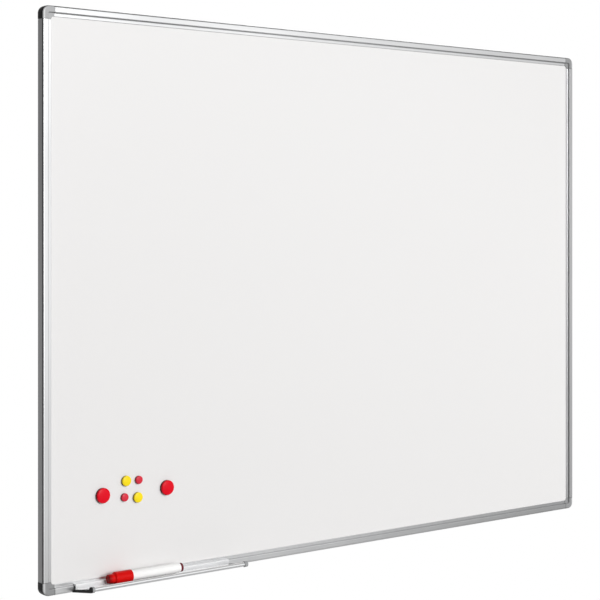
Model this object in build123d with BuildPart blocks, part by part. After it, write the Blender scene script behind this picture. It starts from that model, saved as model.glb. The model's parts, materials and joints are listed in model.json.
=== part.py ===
from build123d import *
import os
from math import cos, radians, tan

# Wall whiteboard in a slim anodised frame, with a clip-on pen tray, a capped marker and six round magnets.
# Millimetres. The origin is the middle of the back, in the plane of the wall: +X runs to the right along the
# board, +Z is up, and -Y points out of the wall towards the reader.

# Board
board_width = 1200
board_height = 900

# Frame section: "in" is measured inwards from the outer edge, "out" is measured from the wall
frame_depth = 16  # out to the face of the raised bead
frame_face = 16.5  # width of the section seen from the front
bead_width = 10  # flat of the raised bead
step_run = 1.4  # width of the slope from the bead down to the inner band
band_out = 13.1  # face of the inner band
frame_wall = 1.3
front_round = 3
back_round = 1
side_bulge = 0.4
shoulder_round = 0.8
foot_round = 0.6
band_round = 0.5
slot_in = 6.5  # bottom of the slot that holds the panel
rear_lip = 1.4
rear_lip_in = 13

# Panel
panel_out = 12  # face of the writing surface
panel_play = 0.5
sheet_thickness = 0.4
backing_thickness = 0.4

# Corners: a connector screwed to the wall, under a snap-on cover
corner_arm = 21
corner_radius = 12
joint_gap = 0.5
cover_wall = 1.6
cover_play = 0.1
step_corner_round = 1.5
connector_play = 0.2
connector_size = 14.5  # inner sides of the connector block
notch_play = 0.3
leg_play = 0.1
leg_length = 32
leg_lead = 1
screw_in = 9
screw_hole_radius = 2.5
screw_head_radius = 4.4
peg_radius = 1
peg_play = 0.1
peg_near_in = 3.6
peg_far_in = 12.7
peg_depth = 5

# Pen tray: "ahead" is measured from the face of the bead, "up" from the lower edge of the frame
tray_length = 295
tray_from_left = 52.3
tray_gap = 0.3
tray_wall = 1.4
tray_hook_wall = 1.1
tray_stand_off = 3.6  # from the face of the bead to the back of the upright flange
tray_clip_round = 0.8  # inside the clip, behind the flange
tray_grip_angle = 65  # how far the ledge follows the frame's lower rounding
tray_rise_angle = 10.3
tray_bead_ahead = 52
tray_bead_radius = 3.5
tray_bore_radius = 2.2
tray_crook_round = 2.5
tray_top_round = 0.8
tray_tip_round = 0.3
tray_bead_crook_round = 1
end_thickness = 2.4
end_rim = 3  # how far the end stands above the floor
end_sleeve_length = 3.8
end_sleeve_wall = 1.1
end_plug_length = 12
end_plug_lead = 0.8
end_play = 0.05
end_edge_round = 0.8

# Marker: places along it are measured from the closed end of its cap
marker_from_tray_end = 53.5
marker_flange_gap = 0.3
marker_floor_gap = 1.4
marker_length = 138
cap_length = 41.7
cap_radius = 9.7
cap_wall = 1.5
cap_tip_length = 10.8
cap_tip_radius = 7
cap_tip_round = 1.6
cap_shoulder_round = 1.2
cap_fit = 0.1
cap_rim_length = 3.2
cap_groove = 0.3
barrel_gap = 0.4
barrel_radius = 8.3
barrel_wall = 1.5
barrel_tail_length = 8
barrel_tail_radius = 7.5
barrel_tail_round = 0.6
plug_head_length = 4.8
plug_radius = 7.2
plug_round = 1.2
plug_insert_length = 9
holder_from = 18.5
holder_nose_radius = 4.2
holder_nose_length = 2.5
holder_cone_length = 8
holder_insert_length = 11
nib_from = 13
nib_radius = 2.7
nib_point_round = 1.8
nib_tail = 2  # how far the nib reaches out of the back of its holder
inner_play = 0.1
reservoir_radius = 5.7

# Magnets
large_magnet_diameter = 24
large_magnet_height = 7
medium_magnet_diameter = 16.5
medium_magnet_height = 5.8
small_magnet_diameter = 13
small_magnet_height = 5.2
magnet_wall = 1.4
magnet_disc_thickness = 3
magnet_disc_play = 0.1
magnet_gap = 0.1
magnet_edge_round_share = 0.34
magnet_dome_share = 0.2
magnets_from_left = 167
magnets_from_bottom = 143
magnet_pitch = 24
magnet_place_shares = {
    "magnet_red_large_left": (-2.5, 0),
    "magnet_red_large_right": (2.5, 0),
    "magnet_yellow_upper": (-0.71, 0.77),
    "magnet_yellow_lower": (0.19, -0.41),
    "magnet_red_small_upper": (0.27, 0.74),
    "magnet_red_small_lower": (-0.83, -0.3),
}

half_width = board_width / 2
half_height = board_height / 2


def finish(piece, name):
    """Label a piece and write it to its own file."""
    piece.part.label = name
    export_step(piece.part, f"parts/{name}.step")


def corner_at(sketch, point):
    """The corner of a section that lies nearest to a point."""
    return sketch.vertices().sort_by_distance(point)[0]


os.makedirs("parts", exist_ok=True)

# Panel: three flat layers glued together, with their corners notched round the connectors

panel_in = slot_in + panel_play
panel_width = board_width - panel_in * 2
panel_height = board_height - panel_in * 2
panel_notch = connector_size + notch_play - panel_in
core_from = rear_lip + backing_thickness
core_thickness = panel_out - sheet_thickness - core_from
panel_layers = {
    "backing_sheet": (rear_lip, backing_thickness),
    "core_board": (core_from, core_thickness),
    "writing_surface": (panel_out - sheet_thickness, sheet_thickness),
}
for name, (out, thickness) in panel_layers.items():
    with BuildPart() as layer:
        with BuildSketch(Plane(origin=(0, -out, 0), x_dir=(1, 0, 0), z_dir=(0, -1, 0))):
            Rectangle(panel_width, panel_height)
            with GridLocations(panel_width, panel_height, 2, 2):
                Rectangle(panel_notch * 2, panel_notch * 2, mode=Mode.SUBTRACT)
        extrude(amount=thickness)
    finish(layer, name)


# Frame rails: one hollow extrusion with a slot for the panel, cut square to four lengths


chamber_in = frame_wall + side_bulge
chamber_width = slot_in - frame_wall - chamber_in


def rail_section():
    """Cross-section of the frame: local x runs in from the outer edge, local y runs out from the wall."""
    with BuildSketch() as section:
        with BuildLine():
            ThreePointArc((side_bulge, 0), (0, frame_depth / 2), (side_bulge, frame_depth))
            Polyline(
                (side_bulge, frame_depth),
                (bead_width, frame_depth),
                (bead_width + step_run, band_out),
                (frame_face, band_out),
                (frame_face, panel_out),
                (slot_in, panel_out),
                (slot_in, rear_lip),
                (rear_lip_in, rear_lip),
                (rear_lip_in, 0),
                (side_bulge, 0),
            )
        make_face()
        fillet(corner_at(section, (side_bulge, frame_depth)), front_round)
        fillet(corner_at(section, (side_bulge, 0)), back_round)
        fillet(corner_at(section, (bead_width, frame_depth)), shoulder_round)
        fillet(corner_at(section, (bead_width + step_run, band_out)), foot_round)
        fillet(corner_at(section, (frame_face, band_out)), band_round)
        with BuildLine():
            Polyline(
                (chamber_in, rear_lip),
                (chamber_in + chamber_width, rear_lip),
                (chamber_in + chamber_width, panel_out + frame_wall),
                (bead_width - frame_wall, panel_out + frame_wall),
                (bead_width - frame_wall, frame_depth - frame_wall),
                (chamber_in + frame_wall, frame_depth - frame_wall),
                (chamber_in, frame_depth - frame_wall * 2),
                close=True,
            )
        make_face(mode=Mode.SUBTRACT)
    return section.sketch


long_rail = board_width - corner_arm * 2
short_rail = board_height - corner_arm * 2
rails = {
    "bottom_rail": ((-long_rail / 2, 0, -half_height), (1, 0, 0), (0, 0, 1), long_rail),
    "top_rail": ((long_rail / 2, 0, half_height), (-1, 0, 0), (0, 0, -1), long_rail),
    "left_rail": ((-half_width, 0, short_rail / 2), (0, 0, -1), (1, 0, 0), short_rail),
    "right_rail": ((half_width, 0, -short_rail / 2), (0, 0, 1), (-1, 0, 0), short_rail),
}
for name, (start, run, inwards, length) in rails.items():
    with BuildPart() as rail:
        with BuildSketch(Plane(origin=start, x_dir=inwards, z_dir=run)):
            add(rail_section())
        extrude(amount=length)
    finish(rail, name)


# Corner pieces. Each corner has its own plane: the origin is at the outer corner on the wall, both local
# axes run inwards and the normal points out of the wall.


corner_homes = {
    "bottom_left": Plane(origin=(-half_width, 0, -half_height), x_dir=(1, 0, 0), z_dir=(0, -1, 0)),
    "bottom_right": Plane(origin=(half_width, 0, -half_height), x_dir=(0, 0, 1), z_dir=(0, -1, 0)),
    "top_right": Plane(origin=(half_width, 0, half_height), x_dir=(-1, 0, 0), z_dir=(0, -1, 0)),
    "top_left": Plane(origin=(-half_width, 0, half_height), x_dir=(0, 0, -1), z_dir=(0, -1, 0)),
}
peg_places = ((peg_near_in, peg_far_in), (peg_far_in, peg_near_in))
cover_arm = corner_arm - joint_gap
cover_from = panel_out + cover_play  # back of the cover's front wall
cover_roll = front_round + side_bulge  # width of the rounded outer edge
leg_from = rear_lip + leg_play
leg_near = chamber_in + leg_play
leg_thickness = chamber_width - leg_play * 2
leg_reach = corner_arm + leg_length - leg_near
block_near = cover_wall + connector_play
block_size = connector_size - block_near


def corner_connector(home):
    """Block with legs that plug into the rails, a countersunk wall hole and holes for the cover's pegs."""
    with BuildPart() as connector:
        with BuildSketch(home) as block:
            with Locations((block_near, block_near)):
                Rectangle(block_size, block_size, align=Align.MIN)
            fillet(block.vertices().sort_by_distance((0, 0))[0], corner_radius - block_near)
        extrude(amount=panel_out)
        with BuildSketch(home.offset(leg_from)) as legs:
            for size in ((leg_reach, leg_thickness), (leg_thickness, leg_reach)):
                with Locations((leg_near, leg_near)):
                    Rectangle(*size, align=Align.MIN)
            fillet(legs.vertices().sort_by_distance((0, 0))[0], corner_radius - leg_near)
        extrude(amount=panel_out - leg_from)
        for inwards in (home.x_dir, home.y_dir):
            leg_tip = connector.faces().sort_by(Axis(home.origin, inwards))[-1]
            chamfer(leg_tip.edges(), leg_lead)
        with Locations(home.offset(panel_out)):
            with Locations((screw_in, screw_in)):
                CounterSinkHole(screw_hole_radius, screw_head_radius)
            with Locations(*peg_places):
                Hole(peg_radius + peg_play, peg_depth + peg_play)
    return connector


def corner_plan(inset, width, round_corner):
    """Plan of a corner cover: an L from this far inside the rounded outer corner to this width."""
    with BuildSketch() as plan:
        with Locations((inset, inset)):
            Rectangle(cover_arm - inset, cover_arm - inset, align=Align.MIN)
        fillet(corner_at(plan, (inset, inset)), corner_radius - inset)
        with Locations((width, width)):
            Rectangle(cover_arm - width, cover_arm - width, align=Align.MIN, mode=Mode.SUBTRACT)
        fillet(corner_at(plan, (width, width)), round_corner)
    return plan.sketch


def inner_edges(home, face, width):
    """The edges of a face that run along the inner side of the L."""
    places = [(edge, home.to_local_coords(edge.center())) for edge in face.edges()]
    return [edge for edge, place in places if min(place.X, place.Y) > width]


def corner_cover(home):
    """Snap-on cover that carries the frame's bead and step round the corner and hides the wall screw."""
    outward = Axis(home.origin, home.z_dir)
    with BuildPart() as cover:
        with BuildSketch(home.offset(cover_from)):
            add(corner_plan(cover_roll, bead_width + step_run, step_corner_round))
        extrude(amount=frame_depth - cover_from)
        front = cover.faces().sort_by(outward)[-1]
        slope_edges = inner_edges(home, front, bead_width)
        chamfer(slope_edges, step_run, frame_depth - band_out, reference=front)
        front = cover.faces().sort_by(outward)[-1]
        fillet(inner_edges(home, front, bead_width - step_run), shoulder_round)
        with BuildSketch(home.offset(cover_from)):
            add(corner_plan(cover_roll, frame_face, cover_arm - frame_face))
        extrude(amount=band_out - cover_from)
        with BuildLine(home):
            FilletPolyline((0, cover_arm), (0, 0), (cover_arm, 0), radius=corner_radius)
        arm_end = home.from_local_coords((0, cover_arm, 0))
        with BuildSketch(Plane(origin=arm_end, x_dir=home.x_dir, z_dir=-home.y_dir)) as edge_strip:
            with BuildLine():
                ThreePointArc((side_bulge, 0), (0, frame_depth / 2), (side_bulge, frame_depth))
                Polyline(
                    (side_bulge, frame_depth),
                    (cover_roll + frame_wall, frame_depth),
                    (cover_roll + frame_wall, cover_from),
                    (cover_wall, cover_from),
                    (cover_wall, 0),
                    (side_bulge, 0),
                )
            make_face()
            fillet(corner_at(edge_strip, (side_bulge, frame_depth)), front_round)
        sweep()
        with BuildSketch(home.offset(cover_from)):
            with Locations(*peg_places):
                Circle(peg_radius)
        extrude(amount=-peg_depth)
    return cover


for corner, home in corner_homes.items():
    finish(corner_connector(home), f"corner_connector_{corner}")
    finish(corner_cover(home), f"corner_cover_{corner}")


# Pen tray: an extrusion that hooks over the bead of the bottom rail and grips under its rounded edge


tray_slope = tan(radians(tray_rise_angle))
tray_floor_wall = tray_wall / cos(radians(tray_rise_angle))
tray_flange_front = tray_stand_off + tray_wall
tray_heel_front = tray_gap + tray_wall
tray_left = tray_from_left - half_width
tray_right = tray_left + tray_length
step_depth = frame_depth - band_out
hook_up = bead_width + tray_gap
hook_top = hook_up + step_run + tray_hook_wall
tray_bead_up = tray_bead_ahead * tray_slope + tray_bead_radius
tray_bead_centre = (tray_bead_ahead, tray_bead_up)
roll_centre = (-front_round, front_round + side_bulge)


def tray_plane(x):
    """Plane across the tray at x: local x runs ahead of the frame, local y runs up."""
    return Plane(origin=(x, -frame_depth, -half_height), x_dir=(0, -1, 0), z_dir=(-1, 0, 0))


def floor_top(ahead):
    """Height of the tray's floor, this far ahead."""
    return ahead * tray_slope + tray_floor_wall


with BuildPart() as tray_profile:
    with BuildSketch(tray_plane(tray_right - end_thickness)) as tray_section:
        with BuildLine():
            ledge = CenterArc(roll_centre, front_round + tray_gap, 0, -tray_grip_angle)
            Polyline(
                ledge @ 1,
                ((ledge @ 1).X, 0),
                (0, 0),
                (tray_bead_ahead, tray_bead_ahead * tray_slope),
                (tray_bead_ahead, floor_top(tray_bead_ahead)),
                (tray_flange_front, floor_top(tray_flange_front)),
                (tray_flange_front, hook_top),
                (tray_gap - step_depth, hook_top),
                (tray_gap - step_depth, hook_up + step_run),
                (tray_gap, hook_up),
                (tray_stand_off, hook_up),
                (tray_stand_off, floor_top(tray_stand_off)),
                (tray_heel_front, floor_top(tray_heel_front)),
                (tray_heel_front, (ledge @ 0).Y),
                ledge @ 0,
            )
        make_face()
        with Locations(tray_bead_centre):
            Circle(tray_bead_radius)
        hook_tip = (tray_gap - step_depth, hook_top)
        bead_crook = (tray_bead_ahead - tray_bead_radius, floor_top(tray_bead_ahead))
        fillet(corner_at(tray_section, (tray_flange_front, floor_top(tray_flange_front))), tray_crook_round)
        fillet(corner_at(tray_section, (tray_flange_front, hook_top)), tray_top_round)
        fillet(corner_at(tray_section, (tray_stand_off, hook_up)), tray_clip_round)
        fillet(corner_at(tray_section, (tray_stand_off, floor_top(tray_stand_off))), tray_clip_round)
        fillet(corner_at(tray_section, hook_tip), tray_tip_round)
        fillet(corner_at(tray_section, bead_crook), tray_bead_crook_round)
        with Locations(tray_bead_centre):
            Circle(tray_bore_radius, mode=Mode.SUBTRACT)
    extrude(amount=tray_length - end_thickness * 2)
finish(tray_profile, "tray_profile")


def tray_end(x, outwards):
    """Moulded end: a rimmed plate over the cut floor, a sleeve over the bead and a plug in its bore."""
    sleeve_radius = tray_bead_radius + end_sleeve_wall
    with BuildPart() as end:
        with BuildSketch(tray_plane(x)):
            with BuildLine():
                ledge = CenterArc(roll_centre, front_round + tray_gap, -tray_grip_angle, tray_grip_angle)
                Polyline(
                    ledge @ 1,
                    (tray_heel_front, (ledge @ 1).Y),
                    (tray_flange_front, floor_top(tray_flange_front) + end_rim),
                    (tray_bead_ahead, floor_top(tray_bead_ahead) + end_rim),
                    (tray_bead_ahead, tray_bead_up - sleeve_radius),
                    (0, 0),
                    ((ledge @ 0).X, 0),
                    ledge @ 0,
                )
            make_face()
            with Locations(tray_bead_centre):
                Circle(sleeve_radius)
        extrude(amount=end_thickness * outwards)
        outer_face = end.faces().sort_by(Axis((x, 0, 0), (-outwards, 0, 0)))[-1]
        rim_sleeve_underside = outer_face.edges().sort_by(SortBy.LENGTH)[-3:]
        fillet(rim_sleeve_underside, end_edge_round)
        with BuildSketch(tray_plane(x)):
            with Locations(tray_bead_centre):
                Circle(sleeve_radius)
                Circle(tray_bead_radius + end_play, mode=Mode.SUBTRACT)
            clear_up = tray_bead_crook_round * 2 + end_play
            with BuildLine():
                Polyline(
                    (tray_bead_ahead, 0),
                    (tray_bead_ahead, floor_top(tray_bead_ahead) + clear_up),
                    (0, floor_top(0) + clear_up),
                    (0, 0),
                    close=True,
                )
            make_face(mode=Mode.SUBTRACT)
        extrude(amount=-end_sleeve_length * outwards)
        with BuildSketch(tray_plane(x)):
            with Locations(tray_bead_centre):
                Circle(tray_bore_radius - end_play)
        extrude(amount=-end_plug_length * outwards)
        plug_tip = end.faces().sort_by(Axis((x, 0, 0), (outwards, 0, 0)))[-1]
        chamfer(plug_tip.edges(), end_plug_lead)
    return end


finish(tray_end(tray_left + end_thickness, 1), "tray_end_left")
finish(tray_end(tray_right - end_thickness, -1), "tray_end_right")


# Marker: it lies in the trough against the flange, cap to the left. Its pieces are turned about one axis.


marker_ahead = tray_flange_front + marker_flange_gap + cap_radius
marker_up = floor_top(marker_ahead) + (cap_radius + marker_floor_gap) / cos(radians(tray_rise_angle))
marker_home = Plane(
    origin=(tray_left + marker_from_tray_end, -frame_depth - marker_ahead, marker_up - half_height),
    x_dir=(1, 0, 0),
    z_dir=(0, -1, 0),
)
marker_axis = Axis(marker_home.origin, (1, 0, 0))
cap_bore = cap_radius - cap_wall
barrel_from = cap_length + barrel_gap
barrel_bore = barrel_radius - barrel_wall
tail_bore = barrel_tail_radius - barrel_wall
plug_from = marker_length - plug_head_length
barrel_tail_from = plug_from - barrel_tail_length
holder_radius = cap_bore - cap_fit
holder_to = barrel_from + holder_insert_length
nib_to = holder_to + nib_tail
plug_insert_from = plug_from - plug_insert_length

with BuildPart() as marker_cap:
    with BuildSketch(marker_home) as section:
        with BuildLine():
            Polyline(
                (0, 0),
                (0, cap_tip_radius),
                (cap_tip_length, cap_tip_radius),
                (cap_tip_length, cap_radius),
                (cap_length, cap_radius),
                (cap_length, cap_bore),
                (cap_tip_length + cap_wall, cap_bore),
                (cap_tip_length + cap_wall, cap_tip_radius - cap_wall),
                (cap_wall, cap_tip_radius - cap_wall),
                (cap_wall, 0),
                close=True,
            )
        make_face()
        fillet(corner_at(section, (0, cap_tip_radius)), cap_tip_round)
        fillet(corner_at(section, (cap_tip_length, cap_radius)), cap_shoulder_round)
        with Locations((cap_length - cap_rim_length, cap_radius)):
            Circle(cap_groove, mode=Mode.SUBTRACT)
    revolve(axis=marker_axis)
finish(marker_cap, "marker_cap")

with BuildPart() as marker_barrel:
    with BuildSketch(marker_home) as section:
        with BuildLine():
            Polyline(
                (barrel_from, barrel_bore),
                (barrel_from, barrel_radius),
                (barrel_tail_from, barrel_radius),
                (barrel_tail_from, barrel_tail_radius),
                (plug_from, barrel_tail_radius),
                (plug_from, tail_bore),
                (barrel_tail_from - barrel_wall, tail_bore),
                (barrel_tail_from - barrel_wall, barrel_bore),
                close=True,
            )
        make_face()
        fillet(corner_at(section, (barrel_tail_from, barrel_radius)), barrel_tail_round)
    revolve(axis=marker_axis)
finish(marker_barrel, "marker_barrel")

with BuildPart() as marker_end_plug:
    with BuildSketch(marker_home) as section:
        with BuildLine():
            Polyline(
                (plug_insert_from, 0),
                (plug_insert_from, tail_bore - inner_play),
                (plug_from, tail_bore - inner_play),
                (plug_from, plug_radius),
                (marker_length, plug_radius),
                (marker_length, 0),
                close=True,
            )
        make_face()
        fillet(corner_at(section, (marker_length, plug_radius)), plug_round)
    revolve(axis=marker_axis)
finish(marker_end_plug, "marker_end_plug")

with BuildPart() as marker_nib_holder:
    with BuildSketch(marker_home):
        with BuildLine():
            Polyline(
                (holder_from, nib_radius + inner_play),
                (holder_from, holder_nose_radius),
                (holder_from + holder_nose_length, holder_nose_radius),
                (holder_from + holder_nose_length + holder_cone_length, holder_radius),
                (barrel_from, holder_radius),
                (barrel_from, barrel_bore - inner_play),
                (holder_to, barrel_bore - inner_play),
                (holder_to, nib_radius + inner_play),
                close=True,
            )
        make_face()
    revolve(axis=marker_axis)
finish(marker_nib_holder, "marker_nib_holder")

with BuildPart() as marker_nib:
    with BuildSketch(marker_home) as section:
        with Locations((nib_from, 0)):
            Rectangle(nib_to - nib_from, nib_radius, align=Align.MIN)
        fillet(corner_at(section, (nib_from, nib_radius)), nib_point_round)
    revolve(axis=marker_axis)
finish(marker_nib, "marker_nib")

with BuildPart() as marker_ink_reservoir:
    with BuildSketch(marker_home):
        with Locations((nib_to, 0)):
            Rectangle(plug_insert_from - nib_to, reservoir_radius, align=Align.MIN)
    revolve(axis=marker_axis)
finish(marker_ink_reservoir, "marker_ink_reservoir")


# Magnets: a domed plastic cap, open at the back, over a magnet disc that faces the board


def magnet(name, diameter, height):
    """Write a magnet's cap and disc at its place on the board."""
    across, up = magnet_place_shares[name]
    place = (
        magnets_from_left - half_width + across * magnet_pitch,
        -panel_out - magnet_gap,
        magnets_from_bottom - half_height + up * magnet_pitch,
    )
    home = Plane(origin=place, x_dir=(1, 0, 0), z_dir=(0, 0, -1))
    axis = Axis(place, (0, -1, 0))
    radius = diameter / 2
    recess = radius - magnet_wall
    recess_out = magnet_disc_thickness + magnet_disc_play
    shoulder = height * (1 - magnet_dome_share)
    dome_sag = height - shoulder
    dome_radius = (radius**2 + dome_sag**2) / (dome_sag * 2)
    with BuildPart() as cap:
        with BuildSketch(home) as section:
            with BuildLine():
                Polyline(
                    (radius, shoulder),
                    (radius, 0),
                    (recess, 0),
                    (recess, recess_out),
                    (0, recess_out),
                    (0, height),
                )
                RadiusArc((0, height), (radius, shoulder), dome_radius)
            make_face()
            fillet(corner_at(section, (radius, shoulder)), shoulder * magnet_edge_round_share)
        revolve(axis=axis)
    finish(cap, f"{name}_cap")
    with BuildPart() as disc:
        with BuildSketch(home):
            Rectangle(recess - magnet_disc_play, magnet_disc_thickness, align=Align.MIN)
        revolve(axis=axis)
    finish(disc, f"{name}_disc")


for name in magnet_place_shares:
    if "large" in name:
        magnet(name, large_magnet_diameter, large_magnet_height)
    elif "yellow" in name:
        magnet(name, medium_magnet_diameter, medium_magnet_height)
    else:
        magnet(name, small_magnet_diameter, small_magnet_height)
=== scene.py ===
# Wall whiteboard with a clip-on pen tray, a capped marker and six round magnets.
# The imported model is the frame: every piece keeps its place, in metres, with +Z up and the board facing -Y.

import json
import math

import bpy
from mathutils import Matrix, Vector


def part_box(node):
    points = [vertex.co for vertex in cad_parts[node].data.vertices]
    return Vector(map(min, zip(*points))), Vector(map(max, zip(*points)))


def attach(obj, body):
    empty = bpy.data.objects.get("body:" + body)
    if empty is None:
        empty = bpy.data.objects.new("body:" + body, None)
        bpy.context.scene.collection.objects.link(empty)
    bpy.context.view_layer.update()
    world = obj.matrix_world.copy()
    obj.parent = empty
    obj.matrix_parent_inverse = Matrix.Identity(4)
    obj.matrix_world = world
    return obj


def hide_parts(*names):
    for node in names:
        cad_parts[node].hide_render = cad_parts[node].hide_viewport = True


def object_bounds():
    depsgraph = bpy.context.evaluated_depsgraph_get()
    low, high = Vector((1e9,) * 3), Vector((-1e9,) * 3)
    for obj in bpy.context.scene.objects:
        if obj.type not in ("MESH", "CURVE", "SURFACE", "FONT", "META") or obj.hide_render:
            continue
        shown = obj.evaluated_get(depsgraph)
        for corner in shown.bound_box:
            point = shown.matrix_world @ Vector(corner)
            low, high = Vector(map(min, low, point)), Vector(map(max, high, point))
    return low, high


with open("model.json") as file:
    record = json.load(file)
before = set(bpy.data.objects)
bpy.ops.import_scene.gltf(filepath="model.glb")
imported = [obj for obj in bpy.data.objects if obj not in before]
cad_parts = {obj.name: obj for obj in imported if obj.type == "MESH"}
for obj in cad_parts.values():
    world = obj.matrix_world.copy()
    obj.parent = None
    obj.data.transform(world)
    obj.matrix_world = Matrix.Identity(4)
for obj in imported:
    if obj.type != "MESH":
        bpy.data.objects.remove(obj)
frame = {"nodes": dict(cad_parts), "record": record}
modelBox = [list(corner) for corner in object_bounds()]
bodyOf = {node: body for body, members in frame["record"]["behaviour"]["bodies"].items() for node in members}
print("frame loaded:", len(frame["nodes"]), "pieces")


# Node maths: a wrapped socket turns an expression on it into Math nodes


class Wire:
    def __init__(self, maker, socket):
        self.maker = maker
        self.socket = socket

    def __add__(self, other):
        return self.maker.maths("ADD", self, other)

    def __sub__(self, other):
        return self.maker.maths("SUBTRACT", self, other)

    def __rsub__(self, other):
        return self.maker.maths("SUBTRACT", other, self)

    def __mul__(self, other):
        return self.maker.maths("MULTIPLY", self, other)

    def __truediv__(self, other):
        return self.maker.maths("DIVIDE", self, other)

    def __rtruediv__(self, other):
        return self.maker.maths("DIVIDE", other, self)

    def __abs__(self):
        return self.maker.maths("ABSOLUTE", self)

    __radd__ = __add__
    __rmul__ = __mul__


class NodeMaker:
    def __init__(self, tree):
        self.tree = tree
        tree.nodes.clear()

    def node(self, kind, settings=None, sockets=None, out=0):
        made = self.tree.nodes.new(kind)
        for name, value in (settings or {}).items():
            setattr(made, name, value)
        for key, value in (sockets or {}).items():
            if isinstance(value, Wire):
                self.tree.links.new(value.socket, made.inputs[key])
            else:
                made.inputs[key].default_value = value
        return Wire(self, made.outputs[out]) if len(made.outputs) else made

    def maths(self, operation, *terms):
        return self.node("ShaderNodeMath", {"operation": operation}, dict(enumerate(terms)))

    def axes(self, vector):
        split = self.node("ShaderNodeSeparateXYZ", {}, {0: vector})
        return [Wire(self, socket) for socket in split.socket.node.outputs]

    def places(self):
        return self.axes(self.node("ShaderNodeTexCoord", out="Object"))

    def noise(self, scale, stretch=(1, 1, 1), detail=2, roughness=0.5):
        here = self.node("ShaderNodeTexCoord", out="Object")
        stretched = self.node("ShaderNodeMapping", {}, {"Vector": here, "Scale": stretch})
        sockets = {"Vector": stretched, "Scale": scale, "Detail": detail, "Roughness": roughness}
        return self.node("ShaderNodeTexNoise", {}, sockets)

    def mixColour(self, factor, low, high):
        low, high = (colour if isinstance(colour, Wire) else (*colour, 1) for colour in (low, high))
        return self.node("ShaderNodeMix", {"data_type": "RGBA"}, {0: factor, 6: low, 7: high}, 2)

    def fade(self, value, start, end):
        sockets = {"Value": value, "From Min": start, "From Max": end}
        return self.node("ShaderNodeMapRange", {"interpolation_type": "SMOOTHSTEP"}, sockets)

    def bump(self, height, strength, distance):
        return self.node("ShaderNodeBump", {}, {"Strength": strength, "Distance": distance, "Height": height})


# A finish has constants, which are the same all over, and a vary function, which returns the sockets that change


def makeFinish(name, constants, vary):
    material = bpy.data.materials.new(name)
    material.use_nodes = True
    shader = NodeMaker(material.node_tree)
    surface = shader.node("ShaderNodeBsdfPrincipled", {}, {**constants, **vary(shader)})
    shader.node("ShaderNodeOutputMaterial", {}, {"Surface": surface})
    return material


def giveFinish(material, *nodeNames):
    for nodeName in nodeNames:
        for materialSlot in frame["nodes"][nodeName].material_slots:
            materialSlot.material = material


def scaled(colour, share):
    return tuple(part * share for part in colour)


# Writing surface: white enamel on steel, with the faint marks of wiping. Painted shade makes it a little greyer towards
# the lower left.

enamel = {
    "colourLow": (0.8, 0.79, 0.785),
    "colourHigh": (0.83, 0.825, 0.82),
    "cloudScale": 1.3,
    "paintedShadeShare": 0.9,
    "paintedShadeFrom": 0.5,
    "paintedShadeTo": -0.75,
    "paintedShadeAcross": 0.4,
    "roughness": 0.36,
    "wipeScale": 2.2,
    "wipeStretch": (1, 1, 5),
    "wipeRoughness": 0.06,
    "peelScale": 900,
    "peel": 0.02,
    "peelHeight": 0.0002,
}
enamelConstants = {"Specular IOR Level": 0.35}


def varyEnamel(shader):
    clouds = shader.noise(enamel["cloudScale"], detail=1)
    wipes = shader.noise(enamel["wipeScale"], enamel["wipeStretch"], detail=3)
    peel = shader.noise(enamel["peelScale"], detail=1)
    across, _, up = shader.places()
    # painted shade: the colour greys towards the lower left, where the light falls off
    grey = shader.fade(up + across * enamel["paintedShadeAcross"], enamel["paintedShadeFrom"], enamel["paintedShadeTo"])
    clean = shader.mixColour(clouds, enamel["colourLow"], enamel["colourHigh"])
    return {
        "Base Color": shader.mixColour(grey, clean, scaled(enamel["colourLow"], enamel["paintedShadeShare"])),
        "Roughness": enamel["roughness"] + (wipes - 0.5) * enamel["wipeRoughness"],
        "Normal": shader.bump(peel, enamel["peel"], enamel["peelHeight"]),
    }


giveFinish(makeFinish("whiteEnamel", enamelConstants, varyEnamel), "writing_surface")
print("writing surface finished")

# Frame: satin anodised aluminium with the fine lines of extrusion along each length

anodised = {
    "colourLow": (0.725, 0.73, 0.735),
    "colourHigh": (0.785, 0.79, 0.795),
    "colourShade": (0.42, 0.425, 0.43),
    "roughness": 0.34,
    "cloudScale": 9,
    "cloudRoughness": 0.05,
    "lineRoughness": 0.12,
    "lineScale": 1400,
    "lineStretch": 0.004,
    "lineDetail": 3,
    "lineContrast": 0.65,
    "lineBump": 0.06,
    "lineHeight": 0.0001,
}
alongBoard = (anodised["lineStretch"], 1, 1)
upBoard = (1, 1, anodised["lineStretch"])


def varyAnodised(stretch, look, shade=None):
    def vary(shader):
        lines = shader.noise(look["lineScale"], stretch, look["lineDetail"], look["lineContrast"])
        clouds = shader.noise(look["cloudScale"])
        colour = shader.mixColour(lines, look["colourLow"], look["colourHigh"])
        if shade:
            # painted shade: the shade mask mixes in the darker shade colour
            colour = shader.mixColour(shade(shader), colour, look["colourShade"])
        roughness = look["roughness"] + (lines - 0.5) * look["lineRoughness"]
        return {
            "Base Color": colour,
            "Roughness": roughness + (clouds - 0.5) * look["cloudRoughness"],
            "Normal": shader.bump(lines, look["lineBump"], look["lineHeight"]),
        }

    return vary


# Painted shade darkens the colour in the frame's step, at the joints and along the outer edge. Rails differ in a
# painted tone of light and shade, in where the step's painted shade starts and ends, and in the stretch over which they
# darken towards one end.

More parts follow.
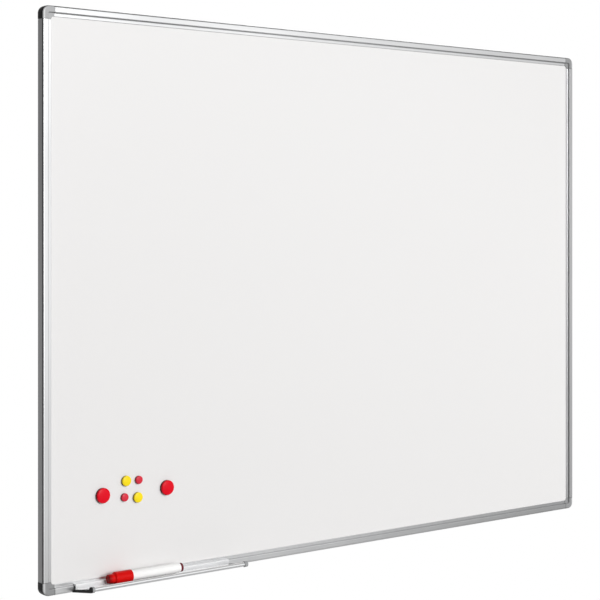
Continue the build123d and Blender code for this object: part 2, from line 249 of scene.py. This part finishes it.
railPaintedShade = {"blur": 0.0006, "edge": 0.0042, "joint": 0.0016}
railLooks = {
    "top_rail": {
        "paintedTone": 0.96,
        "step": (0.0104, 0.013),
        "stepDepth": 0.32,
        "bandDepth": 0,
        "edgeDepth": 0.85,
        "jointDepth": 0.8,
        "far": (-0.15, -0.45),
        "farDepth": 0.5,
    },
    "bottom_rail": {
        "paintedTone": 1,
        "step": (0.01, 0.0124),
        "stepDepth": 0.2,
        "bandDepth": 0,
        "edgeDepth": 0.1,
        "jointDepth": 0.8,
        "far": (-0.3, 0.58),
        "farDepth": 0.5,
    },
    "left_rail": {
        "paintedTone": 0.88,
        "step": (0.01, 0.0124),
        "stepDepth": 0.05,
        "bandDepth": 0,
        "edgeDepth": 0.05,
        "jointDepth": 0.3,
        "far": (-0.05, 0.25),
        "farDepth": 0.5,
    },
    "right_rail": {
        "paintedTone": 0.94,
        "step": (0.0074, 0.0116),
        "stepDepth": 0.62,
        "bandDepth": 0.22,
        "edgeDepth": 0.3,
        "jointDepth": 0.3,
        "far": (0.1, 0.43),
        "farDepth": 0.25,
    },
}


# Painted shade for a rail: darker in the step, in the band inside it, at the outer edge, at the joints and towards one
# end
def shadeRail(name, look, level):
    axis, along = (2, 0) if level else (0, 2)
    reach, end = modelBox[1][axis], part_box(name)[1][along]
    blur, joint = railPaintedShade["blur"], railPaintedShade["joint"]

    def shade(shader):
        places = shader.places()
        inwards = reach - abs(places[axis])
        toEnd = end - abs(places[along])
        stepFrom, stepTo = look["step"]
        within = shader.fade(inwards, stepFrom, stepFrom + blur)
        past = shader.fade(inwards, stepTo - blur, stepTo)
        depth = (within - past) * look["stepDepth"]
        depth = depth + shader.fade(inwards, railPaintedShade["edge"], 0) * look["edgeDepth"]
        depth = depth + shader.fade(toEnd, joint, joint / 2) * look["jointDepth"]
        depth = depth + shader.fade(places[along], *look["far"]) * look["farDepth"]
        return depth + past * look["bandDepth"]

    return shade


for railName, railLook in railLooks.items():
    railLevel = railName in ("top_rail", "bottom_rail")
    # the painted tone scales the rail's colours as painted light and shade
    railColours = {key: scaled(anodised[key], railLook["paintedTone"]) for key in ("colourLow", "colourHigh")}
    railShade = shadeRail(railName, railLook, railLevel)
    railVary = varyAnodised(alongBoard if railLevel else upBoard, {**anodised, **railColours}, railShade)
    giveFinish(makeFinish(f"satinAluminium_{railName}", {"Metallic": 1}, railVary), railName)
print("rails finished")

# Tray: paler and duller metal. Painted shade darkens the front bead above its keel, and painted light makes the crease
# behind it paler. Places ahead are on the Y axis, and the keel's are on the Z axis.

trayMetal = {
    **anodised,
    "colourLow": (0.77, 0.775, 0.78),
    "colourHigh": (0.83, 0.835, 0.84),
    "roughness": 0.55,
    "bead": (-0.0692, -0.0706),
    "beadDepth": 0.6,
    "keel": (-0.4376, -0.4392),
    "creaseFrom": -0.061,
    "creaseTo": -0.0706,
    "creaseBlur": 0.0014,
    "creasePaintedLight": (0.98, 0.98, 0.98),
}
trayConstants = {"Metallic": 1, "Specular Tint": (0.75, 0.75, 0.75, 1)}


# painted shade on the bead's front above its keel, standing in for a dimmer reflection
def shadeBead(shader):
    _, ahead, up = shader.places()
    bead = shader.fade(ahead, *trayMetal["bead"])
    return bead * (1 - shader.fade(up, *trayMetal["keel"])) * trayMetal["beadDepth"]


def varyTray(shader):
    sockets = varyAnodised(alongBoard, trayMetal, shadeBead)(shader)
    _, ahead, _ = shader.places()
    # painted light: the crease behind the bead is made paler
    within = shader.fade(ahead, trayMetal["creaseFrom"], trayMetal["creaseFrom"] - trayMetal["creaseBlur"])
    past = shader.fade(ahead, trayMetal["creaseTo"] + trayMetal["creaseBlur"], trayMetal["creaseTo"])
    sockets["Base Color"] = shader.mixColour(within - past, sockets["Base Color"], trayMetal["creasePaintedLight"])
    return sockets


giveFinish(makeFinish("satinAluminiumTray", trayConstants, varyTray), "tray_profile")


# Moulded plastics: a fine spark texture, and a slow drift in gloss. A zoned one has a darker or lighter zone, which
# comes in from start to end along one axis; every zone used here is painted shade.


def varyMoulded(look):
    def vary(shader):
        grain = shader.noise(look["grainScale"])
        clouds = shader.noise(look["cloudScale"])
        return {
            "Base Color": shader.mixColour(clouds, look["colourLow"], look["colourHigh"]),
            "Roughness": look["roughness"] + (clouds - 0.5) * look["glossDrift"],
            "Normal": shader.bump(grain, look["grain"], look["grainHeight"]),
        }

    return vary


def varyZoned(look, axis, start, end, colour):
    def vary(shader):
        sockets = varyMoulded(look)(shader)
        zone = shader.fade(shader.places()[axis], start, end)
        sockets["Base Color"] = shader.mixColour(zone, sockets["Base Color"], colour)
        return sockets

    return vary


# Corner covers: each has its own painted tone of light and shade, painted shade on the side round the outside, and a
# painted highlight along its outer upright edge

coverPlastic = {
    "colourLow": (0.33, 0.333, 0.337),
    "colourHigh": (0.37, 0.373, 0.377),
    "roughness": 0.4,
    "glossDrift": 0.08,
    "cloudScale": 60,
    "grainScale": 2600,
    "grain": 0.05,
    "grainHeight": 0.0002,
}
coverConstants = {"Metallic": 0.1, "Specular IOR Level": 0.3}
coverPaintedShade = {"radius": 0.012, "from": 0.001, "to": 0.0004}
coverPaintedHighlight = {"from": 0.0056, "to": 0.003, "colour": (0.52, 0.523, 0.527)}
# each look's side is the colour of its painted shade, and its tone is painted light and shade
coverLooks = {
    "bottom_left": {"paintedTone": 0.72, "side": (0.05, 0.05, 0.051)},
    "bottom_right": {"paintedTone": 0.86, "side": (0.009, 0.009, 0.0095)},
    "top_left": {"paintedTone": 1.06, "side": (0.009, 0.009, 0.0095)},
    "top_right": {"paintedTone": 0.88, "side": (0.009, 0.009, 0.0095)},
}


def varyCover(look):
    def vary(shader):
        places = shader.places()
        turned = 0
        for axis in (0, 2):
            over = abs(places[axis]) - (modelBox[1][axis] - coverPaintedShade["radius"])
            turned = turned + shader.maths("POWER", shader.maths("MAXIMUM", over, 0), 2)
        inwards = coverPaintedShade["radius"] - shader.maths("SQRT", turned)
        side = shader.fade(inwards, coverPaintedShade["from"], coverPaintedShade["to"])
        # painted highlight: a paler strip along the outer upright edge
        lip = shader.fade(modelBox[1][0] - abs(places[0]), coverPaintedHighlight["from"], coverPaintedHighlight["to"])
        sockets = varyMoulded(look)(shader)
        front = shader.mixColour(lip, sockets["Base Color"], coverPaintedHighlight["colour"])
        sockets["Base Color"] = shader.mixColour(side, front, look["side"])
        return sockets

    return vary


for corner, coverLook in coverLooks.items():
    coverColours = {key: scaled(coverPlastic[key], coverLook["paintedTone"]) for key in ("colourLow", "colourHigh")}
    coverVary = varyCover({**coverPlastic, **coverColours, "side": coverLook["side"]})
    giveFinish(makeFinish(f"satinGreyPlastic_{corner}", coverConstants, coverVary), f"corner_cover_{corner}")

connectorPlastic = {**coverPlastic, "colourLow": (0.09, 0.092, 0.095), "colourHigh": (0.11, 0.112, 0.115)}
connectorFinish = makeFinish("darkGreyPlastic", {}, varyMoulded(connectorPlastic))
giveFinish(connectorFinish, *[f"corner_connector_{corner}" for corner in coverLooks])
print("corners finished")

# Tray ends: the left one's outer plate is painted dark as shade but for its arm at the back, and the right one is
# painted dark as shade behind its sleeve

endPlastic = {
    **coverPlastic,
    "colourLow": (0.3, 0.305, 0.31),
    "colourHigh": (0.35, 0.355, 0.36),
    "paintedShadeColour": (0.018, 0.018, 0.019),
    "blur": 0.0003,
    "plate": 0.0024,
    "sleeve": -0.0634,
    "armColour": (0.3, 0.303, 0.306),
    "armUp": (-0.4442, -0.4432),
    "armAhead": (-0.027, -0.022),
}
endConstants = {"Specular IOR Level": 0.25}
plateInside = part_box("tray_end_left")[0][0] + endPlastic["plate"]
plateZone = (plateInside, plateInside - endPlastic["blur"])
sleeveZone = (endPlastic["sleeve"], endPlastic["sleeve"] + endPlastic["blur"])


# painted shade on the left end's outer plate, left off its arm at the back
def varyLeftEnd(shader):
    sockets = varyZoned(endPlastic, 0, *plateZone, endPlastic["paintedShadeColour"])(shader)
    _, ahead, up = shader.places()
    arm = shader.fade(up, *endPlastic["armUp"]) * shader.fade(ahead, *endPlastic["armAhead"])
    sockets["Base Color"] = shader.mixColour(arm, sockets["Base Color"], endPlastic["armColour"])
    return sockets


giveFinish(makeFinish("trayEndLeftPlastic", endConstants, varyLeftEnd), "tray_end_left")
varyRightEnd = varyZoned(endPlastic, 1, *sleeveZone, endPlastic["paintedShadeColour"])
giveFinish(makeFinish("trayEndRightPlastic", endConstants, varyRightEnd), "tray_end_right")
print("tray finished")

# Marker: glossy plastics, with painted shade darkening the end of the cap's stub

glossy = {**coverPlastic, "roughness": 0.3, "glossDrift": 0.05, "grain": 0.02, "cloudScale": 140}
glossConstants = {"Specular IOR Level": 0.16}
redConstants = {"Specular IOR Level": 0.1}
whiteGloss = {**glossy, "colourLow": (0.84, 0.84, 0.83), "colourHigh": (0.88, 0.88, 0.87)}
redGloss = {**glossy, "colourLow": (0.56, 0.003, 0.002), "colourHigh": (0.66, 0.005, 0.004)}
darkRedGloss = {**glossy, "colourLow": (0.11, 0.004, 0.012), "colourHigh": (0.14, 0.005, 0.015)}
stubShade = {"from": 0.0075, "to": 0.0015, "colour": (0.32, 0.003, 0.003)}
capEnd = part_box("marker_cap")[0][0]
# painted shade on the end of the cap's stub
varyCap = varyZoned(redGloss, 0, capEnd + stubShade["from"], capEnd + stubShade["to"], stubShade["colour"])
barrelFinish = makeFinish("markerWhite", glossConstants, varyMoulded(whiteGloss))
capFinish = makeFinish("markerRed", redConstants, varyCap)
plugFinish = makeFinish("markerDarkRed", glossConstants, varyMoulded(darkRedGloss))
giveFinish(barrelFinish, "marker_barrel", "marker_nib_holder")
giveFinish(capFinish, "marker_cap")
giveFinish(plugFinish, "marker_end_plug")

# Magnets: glossy plastics, with painted shade darkening them round the side, up to a height over the board

redMagnet = {
    **glossy,
    "colourLow": (0.66, 0.005, 0.014),
    "colourHigh": (0.72, 0.006, 0.02),
    "paintedSideShade": (0.14, 0.002, 0.006),
    "sideHeight": 0.0042,
}
smallRedMagnet = {
    **glossy,
    "colourLow": (0.6, 0.03, 0.05),
    "colourHigh": (0.66, 0.036, 0.06),
    "paintedSideShade": (0.2, 0.01, 0.016),
    "sideHeight": 0.003,
}
yellowMagnet = {
    **glossy,
    "colourLow": (0.86, 0.66, 0.012),
    "colourHigh": (0.92, 0.72, 0.016),
    "paintedSideShade": (0.3, 0.21, 0.01),
    "sideHeight": 0.0034,
}
sideBlur = 0.0008
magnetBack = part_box("magnet_red_large_left_cap")[1][1]


# painted shade round the magnet's side, up to a height over the board
def varyMagnet(look):
    start = magnetBack - look["sideHeight"]
    return varyZoned(look, 1, start, start + sideBlur, look["paintedSideShade"])


redMagnetFinish = makeFinish("magnetRed", redConstants, varyMagnet(redMagnet))
smallRedMagnetFinish = makeFinish("magnetSmallRed", glossConstants, varyMagnet(smallRedMagnet))
yellowMagnetFinish = makeFinish("magnetYellow", glossConstants, varyMagnet(yellowMagnet))

# Turned pieces: a Geometry Nodes tree spins a profile about its axis, and can flute a stretch of it. A profile is a
# row of points (along the axis, radius, rounding) that starts and ends on the axis, or closes on itself.

turnedInputs = {
    "Segments": "NodeSocketInt",
    "Flutes": "NodeSocketInt",
    "Flute Depth": "NodeSocketFloat",
    "Flute From": "NodeSocketFloat",
    "Flute To": "NodeSocketFloat",
    "Flute Blend": "NodeSocketFloat",
    "Crease Angle": "NodeSocketFloat",
    "Merge Distance": "NodeSocketFloat",
    "Finish": "NodeSocketMaterial",
}
smoothTurning = {
    "Segments": 96,
    "Flutes": 0,
    "Flute Depth": 0.0,
    "Flute From": 0.0,
    "Flute To": 1.0,
    "Flute Blend": 0.0012,
    "Crease Angle": 0.6,
    "Merge Distance": 1e-6,
}
roundingSteps = 6


def makeTurnedTree():
    tree = bpy.data.node_groups.new("turnedShape", "GeometryNodeTree")
    tree.interface.new_socket("Geometry", in_out="INPUT", socket_type="NodeSocketGeometry")
    tree.interface.new_socket("Geometry", in_out="OUTPUT", socket_type="NodeSocketGeometry")
    for name, kind in turnedInputs.items():
        tree.interface.new_socket(name, in_out="INPUT", socket_type=kind)
    maker = NodeMaker(tree)
    source = tree.nodes.new("NodeGroupInput")
    given = {socket.name: Wire(maker, socket) for socket in source.outputs if socket.name}
    points = maker.node("GeometryNodeAttributeDomainSize", {}, {"Geometry": given["Geometry"]})
    columns = given["Segments"] + 1
    sheet = maker.node("GeometryNodeMeshGrid", {}, {"Vertices X": points, "Vertices Y": columns})
    index = maker.node("GeometryNodeInputIndex")
    row = maker.maths("FLOOR", (index + 0.5) / columns)
    place = maker.node("GeometryNodeInputPosition")
    sockets = {"Geometry": given["Geometry"], "Value": place, "Index": row}
    sample = maker.node("GeometryNodeSampleIndex", {"data_type": "FLOAT_VECTOR"}, sockets)
    along, radius, _ = maker.axes(sample)
    angle = (index - row * columns) * math.tau / given["Segments"]
    ripple = 0.5 - maker.maths("COSINE", angle * given["Flutes"]) * 0.5
    fluted = maker.fade(along, given["Flute From"], given["Flute From"] + given["Flute Blend"])
    fluted = fluted - maker.fade(along, given["Flute To"] - given["Flute Blend"], given["Flute To"])
    radius = radius - ripple * fluted * given["Flute Depth"]
    vector = {"X": along, "Y": radius * maker.maths("COSINE", angle), "Z": radius * maker.maths("SINE", angle)}
    position = maker.node("ShaderNodeCombineXYZ", {}, vector)
    spun = maker.node("GeometryNodeSetPosition", {}, {"Geometry": sheet, "Position": position})
    merging = {"Geometry": spun, "Distance": given["Merge Distance"]}
    closed = maker.node("GeometryNodeMergeByDistance", {}, merging)
    smooth = maker.node("GeometryNodeSetShadeSmooth", {"domain": "FACE"}, {"Geometry": closed})
    bend = maker.node("GeometryNodeInputMeshEdgeAngle")
    sharp = maker.maths("GREATER_THAN", bend, given["Crease Angle"])
    creasing = {"Geometry": smooth, "Selection": sharp, "Shade Smooth": False}
    creased = maker.node("GeometryNodeSetShadeSmooth", {"domain": "EDGE"}, creasing)
    real = maker.node("GeometryNodeRealizeInstances", {}, {"Geometry": creased})
    finished = maker.node("GeometryNodeSetMaterial", {}, {"Geometry": real, "Material": given["Finish"]})
    sink = tree.nodes.new("NodeGroupOutput")
    tree.links.new(finished.socket, sink.inputs[0])
    return tree


turnedTree = makeTurnedTree()


def roundedProfile(profile, closed):
    points = []
    for number, (along, radius, rounding) in enumerate(profile):
        here = Vector((along, radius, 0))
        if not rounding:
            points.append(here)
            continue
        back = (Vector((*profile[number - 1][:2], 0)) - here).normalized()
        ahead = (Vector((*profile[(number + 1) % len(profile)][:2], 0)) - here).normalized()
        half = back.angle(ahead) / 2
        middle = here + (back + ahead).normalized() * (rounding / math.sin(half))
        start = here + back * (rounding / math.tan(half)) - middle
        end = here + ahead * (rounding / math.tan(half)) - middle
        for part in range(roundingSteps + 1):
            points.append(middle + start.slerp(end, part / roundingSteps).normalized() * rounding)
    return points + points[:1] if closed else points


def turnedPiece(replaced, profile, home, finish, sizes, closed=False):
    name = f"turned_{replaced}"
    outline = bpy.data.meshes.new(name + "Profile")
    outline.from_pydata([tuple(point) for point in roundedProfile(profile, closed)], [], [])
    piece = bpy.data.objects.new(name, outline)
    bpy.context.scene.collection.objects.link(piece)
    spin = piece.modifiers.new("turned", "NODES")
    spin.node_group = turnedTree
    values = {**sizes, "Finish": finish}
    for item in turnedTree.interface.items_tree:
        if item.in_out == "INPUT" and item.name in values:
            spin[item.identifier] = values[item.name]
    evaluated = piece.evaluated_get(bpy.context.evaluated_depsgraph_get())
    shape = bpy.data.meshes.new_from_object(evaluated)
    piece.modifiers.clear()
    shape.materials.clear()
    shape.materials.append(finish)
    shape.transform(home)
    shape.name = name
    piece.data = shape
    bpy.data.meshes.remove(outline)
    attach(piece, bodyOf[replaced])
    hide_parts(replaced)


# Magnet caps: domed, and open at the back for the disc. Each one's box comes from the frame, and along is from the
# board's face outwards.

magnetShape = {
    "wall": 0.0014,
    "recess": 0.0031,
    "shoulderShare": 0.8,
    "roundShare": 0.34,
    "domeShares": (0, 0.2, 0.4, 0.6, 0.78),
    "rim": 0.0002,
}


def magnetCap(node, finish):
    low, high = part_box(node)
    radius, height = (high[0] - low[0]) / 2, high[1] - low[1]
    shoulder = height * magnetShape["shoulderShare"]
    sag = height - shoulder
    domeRadius = (radius**2 + sag**2) / (sag * 2)
    bore, recess = radius - magnetShape["wall"], magnetShape["recess"]
    profile = []
    for share in magnetShape["domeShares"]:
        out = radius * share
        profile.append((height - domeRadius + math.sqrt(domeRadius**2 - out**2), out, 0))
    profile += [(shoulder, radius, shoulder * magnetShape["roundShare"]), (0, radius, magnetShape["rim"])]
    profile += [(0, bore, 0), (recess, bore, 0), (recess, 0, 0)]
    middle = Vector(((low[0] + high[0]) / 2, high[1], (low[2] + high[2]) / 2))
    home = Matrix.Translation(middle) @ Matrix.Rotation(math.radians(-90), 4, "Z")
    turnedPiece(node, profile, home, finish, smoothTurning)


for side in ("left", "right"):
    magnetCap(f"magnet_red_large_{side}_cap", redMagnetFinish)
for level in ("upper", "lower"):
    magnetCap(f"magnet_red_small_{level}_cap", smallRedMagnetFinish)
    magnetCap(f"magnet_yellow_{level}_cap", yellowMagnetFinish)
print("magnets made")

# Marker: a fluted cap with a stub, a barrel that steps in at its tail, and an end plug. Along is from the cap's end.

capShape = {
    "wall": 0.0015,
    "stub": 0.0108,
    "stubRadius": 0.007,
    "cone": 0.0022,
    "rim": 0.0032,
    "groove": 0.0003,
    "round": 0.0011,
}
capTurning = {
    **smoothTurning,
    "Segments": 240,
    "Flutes": 40,
    "Flute Depth": 0.00028,
    "Flute From": 0.0135,
    "Flute To": 0.0372,
}
barrelShape = {"wall": 0.0015, "tail": 0.008, "tailRadius": 0.0075, "round": 0.0006, "lip": 0.0003}
plugShape = {"head": 0.0048, "insertRadius": 0.0059, "round": 0.0012, "edge": 0.0002}
capLow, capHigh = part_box("marker_cap")
markerHome = Matrix.Translation(Vector((capEnd, (capLow[1] + capHigh[1]) / 2, (capLow[2] + capHigh[2]) / 2)))


def stretchOf(node):
    low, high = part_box(node)
    return low[0] - capEnd, high[0] - capEnd, (high[2] - low[2]) / 2


def markerCap():
    _, end, radius = stretchOf("marker_cap")
    wall, stub, stubRadius = capShape["wall"], capShape["stub"], capShape["stubRadius"]
    rim, groove, cone = end - capShape["rim"], capShape["groove"], capShape["cone"] / 2
    profile = [(wall, 0, 0), (wall, stubRadius - wall, 0), (stub + wall, stubRadius - wall, 0)]
    profile += [(stub + wall, radius - wall, 0), (end, radius - wall, 0), (end, radius, groove)]
    profile += [(rim + groove, radius, 0), (rim, radius - groove, 0), (rim - groove, radius, 0)]
    profile += [(capTurning["Flute To"], radius, 0), (capTurning["Flute From"], radius, 0)]
    profile += [(stub + cone, radius, capShape["round"]), (stub - cone, stubRadius, capShape["round"])]
    profile += [(0, stubRadius, capShape["round"]), (0, 0, 0)]
    turnedPiece("marker_cap", profile, markerHome, capFinish, capTurning)


def markerBarrel():
    start, end, radius = stretchOf("marker_barrel")
    wall, tail, tailRadius = barrelShape["wall"], end - barrelShape["tail"], barrelShape["tailRadius"]
    profile = [(start, radius - wall, 0), (tail - wall, radius - wall, 0), (tail - wall, tailRadius - wall, 0)]
    profile += [(end, tailRadius - wall, 0), (end, tailRadius, barrelShape["lip"]), (tail, tailRadius, 0)]
    profile += [(tail, radius, barrelShape["round"]), (start, radius, barrelShape["lip"])]
    turnedPiece("marker_barrel", profile, markerHome, barrelFinish, smoothTurning, closed=True)


def markerPlug():
    start, end, radius = stretchOf("marker_end_plug")
    insert, face = plugShape["insertRadius"], end - plugShape["head"]
    profile = [(end, 0, 0), (end, radius, plugShape["round"]), (face, radius, plugShape["edge"])]
    profile += [(face, insert, 0), (start, insert, 0), (start, 0, 0)]
    turnedPiece("marker_end_plug", profile, markerHome, plugFinish, smoothTurning)


markerCap()
markerBarrel()
markerPlug()
print("marker made")

# Pieces that show from behind, or when something is pulled off

felt = {
    **coverPlastic,
    "colourLow": (0.3, 0.01, 0.015),
    "colourHigh": (0.42, 0.02, 0.03),
    "roughness": 0.9,
    "grainScale": 1800,
    "grain": 0.5,
}
ferrite = {
    **coverPlastic,
    "colourLow": (0.02, 0.02, 0.022),
    "colourHigh": (0.035, 0.035, 0.038),
    "roughness": 0.55,
    "grain": 0.2,
    "cloudScale": 400,
}
cardboard = {
    **coverPlastic,
    "colourLow": (0.36, 0.24, 0.13),
    "colourHigh": (0.44, 0.3, 0.17),
    "roughness": 0.85,
    "grainScale": 1200,
    "grain": 0.3,
}
millMetal = {**anodised, "colourLow": (0.55, 0.56, 0.57), "colourHigh": (0.68, 0.69, 0.7), "roughness": 0.45}
discs = [node for node in frame["nodes"] if node.endswith("_disc")]
giveFinish(makeFinish("inkedFelt", {}, varyMoulded(felt)), "marker_nib", "marker_ink_reservoir")
giveFinish(makeFinish("darkFerrite", {}, varyMoulded(ferrite)), *discs)
giveFinish(makeFinish("coreCardboard", {}, varyMoulded(cardboard)), "core_board")
giveFinish(makeFinish("millAluminium", {"Metallic": 1}, varyAnodised(alongBoard, millMetal)), "backing_sheet")
print("finishes made:", len(bpy.data.materials))

# Floor: plain and pale

floorLook = {
    **coverPlastic,
    "colourLow": (0.85, 0.85, 0.85),
    "colourHigh": (0.87, 0.87, 0.87),
    "roughness": 0.8,
    "height": -1.5,
    "half": 2.2,
}
floorCorners = [
    (x * floorLook["half"], y * floorLook["half"], floorLook["height"]) for x, y in ((-1, -1), (1, -1), (1, 1), (-1, 1))
]
floorMesh = bpy.data.meshes.new("floor")
floorMesh.from_pydata(floorCorners, [], [(0, 1, 2, 3)])
floorMesh.materials.append(makeFinish("paleFloor", {}, varyMoulded(floorLook)))
floor = bpy.data.objects.new("floor", floorMesh)
bpy.context.scene.collection.objects.link(floor)

# Lights: a broad soft sun from the front, and a soft lamp behind the board to the right. Angles are in degrees.

keyLight = {"azimuth": 8, "height": 16, "spread": 24, "strength": 2.35}
backLight = {"place": (2.2, 2.6, 1.4), "size": 2.0, "power": 60}

sun = bpy.data.lights.new("keyLight", "SUN")
sun.angle = math.radians(keyLight["spread"])
sun.energy = keyLight["strength"]
sunObject = bpy.data.objects.new("keyLight", sun)
bpy.context.scene.collection.objects.link(sunObject)
sunObject.rotation_euler = (math.radians(90 - keyLight["height"]), 0, math.radians(keyLight["azimuth"]))

lamp = bpy.data.lights.new("backLight", "AREA")
lamp.shape = "DISK"
lamp.size = backLight["size"]
lamp.energy = backLight["power"]
lampObject = bpy.data.objects.new("backLight", lamp)
bpy.context.scene.collection.objects.link(lampObject)
lampObject.location = backLight["place"]
lampObject.rotation_euler = Vector(backLight["place"]).to_track_quat("Z", "Y").to_euler()

# Room light: a broad bright front that falls off to the far right, to the left, towards the floor and a little from
# above. Each pair is where a fade starts and ends, as parts of a direction.

roomLight = {
    "ambient": 0.05,
    "panel": 0.8,
    "front": (0.1, -0.35),
    "left": (-0.55, -0.1),
    "right": (1.22, 0.5),
    "low": (-0.45, 0),
    "high": (0.3, 0.7),
    "highLoss": 0.5,
    "behind": (0.4, 0.7),
    "behindShare": 0.26,
}

room = bpy.data.worlds.new("softRoom")
bpy.context.scene.world = room
room.use_nodes = True
roomMaker = NodeMaker(room.node_tree)
lookX, lookY, lookZ = roomMaker.axes(roomMaker.node("ShaderNodeTexCoord", out="Generated"))
sides = roomMaker.fade(lookX, *roomLight["left"]) * roomMaker.fade(lookX, *roomLight["right"])
front = roomMaker.fade(lookY, *roomLight["front"])
below = roomMaker.fade(lookZ, *roomLight["low"])
above = 1 - roomMaker.fade(lookZ, *roomLight["high"]) * roomLight["highLoss"]
behind = roomMaker.fade(lookY, *roomLight["behind"])
broad = sides * front * below * above
glow = roomLight["ambient"] + behind * roomLight["behindShare"] + broad * roomLight["panel"]
direct = roomMaker.node("ShaderNodeLightPath", out="Is Camera Ray")
shown = direct + (1 - direct) * glow  # the backdrop itself is plain white
backdrop = roomMaker.node("ShaderNodeBackground", {}, {"Color": (1, 1, 1, 1), "Strength": shown})
roomMaker.node("ShaderNodeOutputWorld", {}, {"Surface": backdrop})

# Camera: level, with its frame shifted down to the board's middle. Lens and sensor are in millimetres.

camera = {
    "place": (-1.75858, -2.08662, 0.11175),
    "turn": 38.693,
    "lens": 92.6,
    "sensor": 36,
    "shiftDown": 0.12123,
    "sees": 50,
}
cameraData = bpy.data.cameras.new("camera")
cameraData.sensor_width = camera["sensor"]
cameraData.lens = camera["lens"]
cameraData.shift_y = -camera["shiftDown"]
cameraData.clip_end = camera["sees"]
cameraObject = bpy.data.objects.new("camera", cameraData)
bpy.context.scene.collection.objects.link(cameraObject)
cameraObject.location = camera["place"]
cameraObject.rotation_euler = (math.radians(90), 0, -math.radians(camera["turn"]))
bpy.context.scene.camera = cameraObject
bpy.context.scene.view_settings.view_transform = "Standard"
print("floor, light and camera ready")
